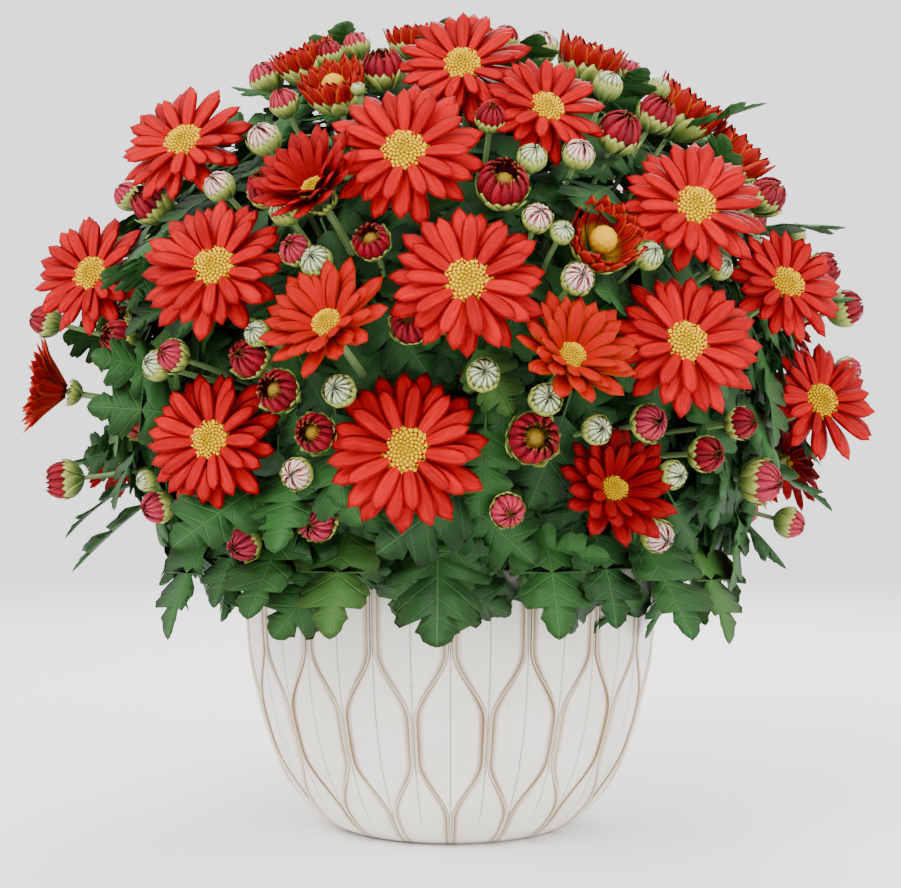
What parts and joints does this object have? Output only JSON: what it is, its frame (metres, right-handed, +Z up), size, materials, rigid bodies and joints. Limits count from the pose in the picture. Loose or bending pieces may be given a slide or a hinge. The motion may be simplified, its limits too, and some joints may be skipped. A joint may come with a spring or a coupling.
{
  "type": "potted chrysanthemum",
  "caption": "Dome-shaped flowering chrysanthemum with red daisy blooms, yellow discs, buds and lobed green leaves, in a round cream glazed pot with raised ogee lines.",
  "frame": {"origin": "centre of the pot's foot, on the surface that it stands on", "axes": "+Z up along the pot's axis, -Y towards the front, +X to the right seen from the front"},
  "size_m": [0.3664, 0.3529, 0.3395],
  "materials": {
    "pot_glaze": "cream satin glaze with tan edges on the raised lines",
    "soil": "dark moist peat and bark potting mix",
    "foliage": "matt deep green leaves, pale green stems and buds",
    "petals": "soft bright red petals with pinker light edges",
    "disc": "dusty yellow florets"
  },
  "bodies": {
    "root": {"pot": "pot_glaze", "soil": "soil", "leafy_stem_1": "foliage", "leafy_stem_2": "foliage", "leafy_stem_3": "foliage", "leafy_stem_4": "foliage", "leafy_stem_5": "foliage", "bloom_1_petals": "petals", "bloom_1_disc": "disc", "bloom_2_petals": "petals", "bloom_2_disc": "disc", "bloom_3_petals": "petals", "bloom_3_disc": "disc", "bloom_4_petals": "petals", "bloom_4_disc": "disc", "bloom_5_petals": "petals", "bloom_5_disc": "disc", "bloom_6_petals": "petals", "bloom_6_disc": "disc", "bloom_7_petals": "petals", "bloom_7_disc": "disc", "bloom_8_petals": "petals", "bloom_8_disc": "disc", "bloom_9_petals": "petals", "bloom_9_disc": "disc", "bloom_10_petals": "petals", "bloom_10_disc": "disc", "bloom_11_petals": "petals", "bloom_11_disc": "disc", "bloom_12_petals": "petals", "bloom_12_disc": "disc", "bloom_13_petals": "petals", "bloom_13_disc": "disc", "bloom_14_petals": "petals", "bloom_14_disc": "disc", "bloom_15_petals": "petals", "bloom_15_disc": "disc", "bloom_16_petals": "petals", "bloom_16_disc": "disc", "bloom_17_petals": "petals", "bloom_17_disc": "disc", "bloom_18_petals": "petals", "bloom_18_disc": "disc", "bloom_19_petals": "petals", "bloom_19_disc": "disc", "bloom_20_petals": "petals", "bloom_20_disc": "disc", "bloom_21_petals": "petals", "bloom_21_disc": "disc", "cupped_bloom_1": "petals", "cupped_bloom_2": "petals", "cupped_bloom_3": "petals", "cupped_bloom_4": "petals", "cupped_bloom_5": "petals", "bloom_pair_1": "petals", "bloom_pair_2": "petals", "bloom_pair_3": "petals", "bloom_pair_4": "petals", "bloom_pair_5": "petals", "bloom_pair_6": "petals"}
  },
  "joints": []
}
